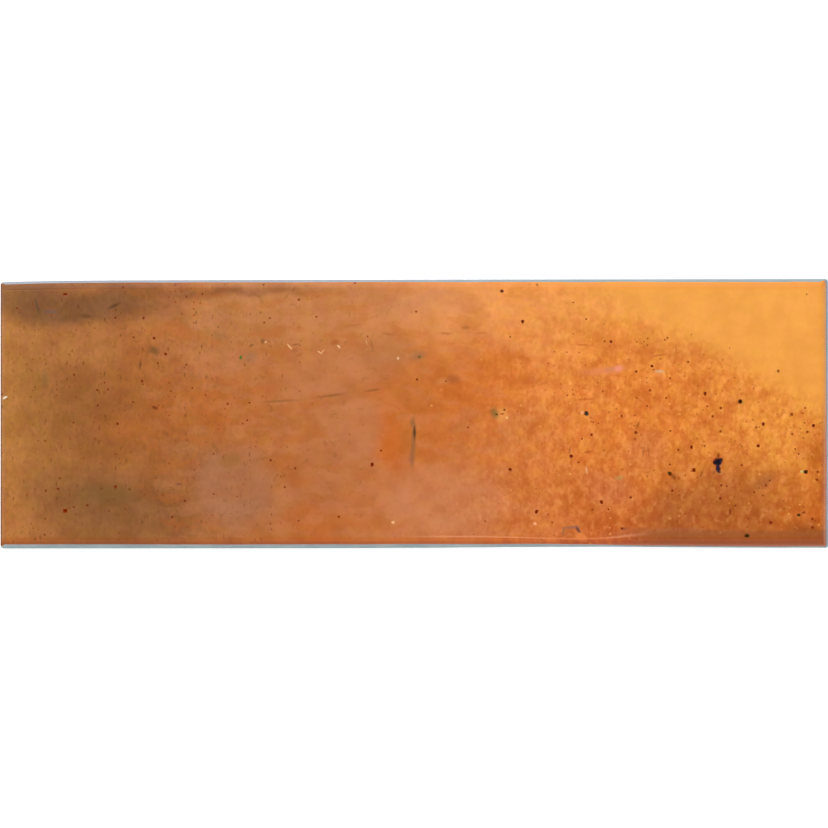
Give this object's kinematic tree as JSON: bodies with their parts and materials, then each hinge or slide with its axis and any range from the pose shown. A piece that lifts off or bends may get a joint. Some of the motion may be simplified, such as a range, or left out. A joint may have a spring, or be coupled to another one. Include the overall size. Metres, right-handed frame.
{
  "type": "glazed ceramic wall tile",
  "caption": "Oblong glazed ceramic wall tile with rounded face edges, sides that lean in to a gently rolling face, and a keyed back.",
  "frame": {"origin": "centre of the back, on the plane that is bonded to the wall", "axes": "+X along the tile, +Y across it, +Z out of the glazed face"},
  "size_m": [0.2, 0.0648, 0.0086],
  "materials": {
    "glazed_ceramic": "glossy mottled amber and brown glaze, fired onto a bare grey body at the sides and back"
  },
  "bodies": {
    "root": {"wall_tile": "glazed_ceramic"}
  },
  "joints": []
}
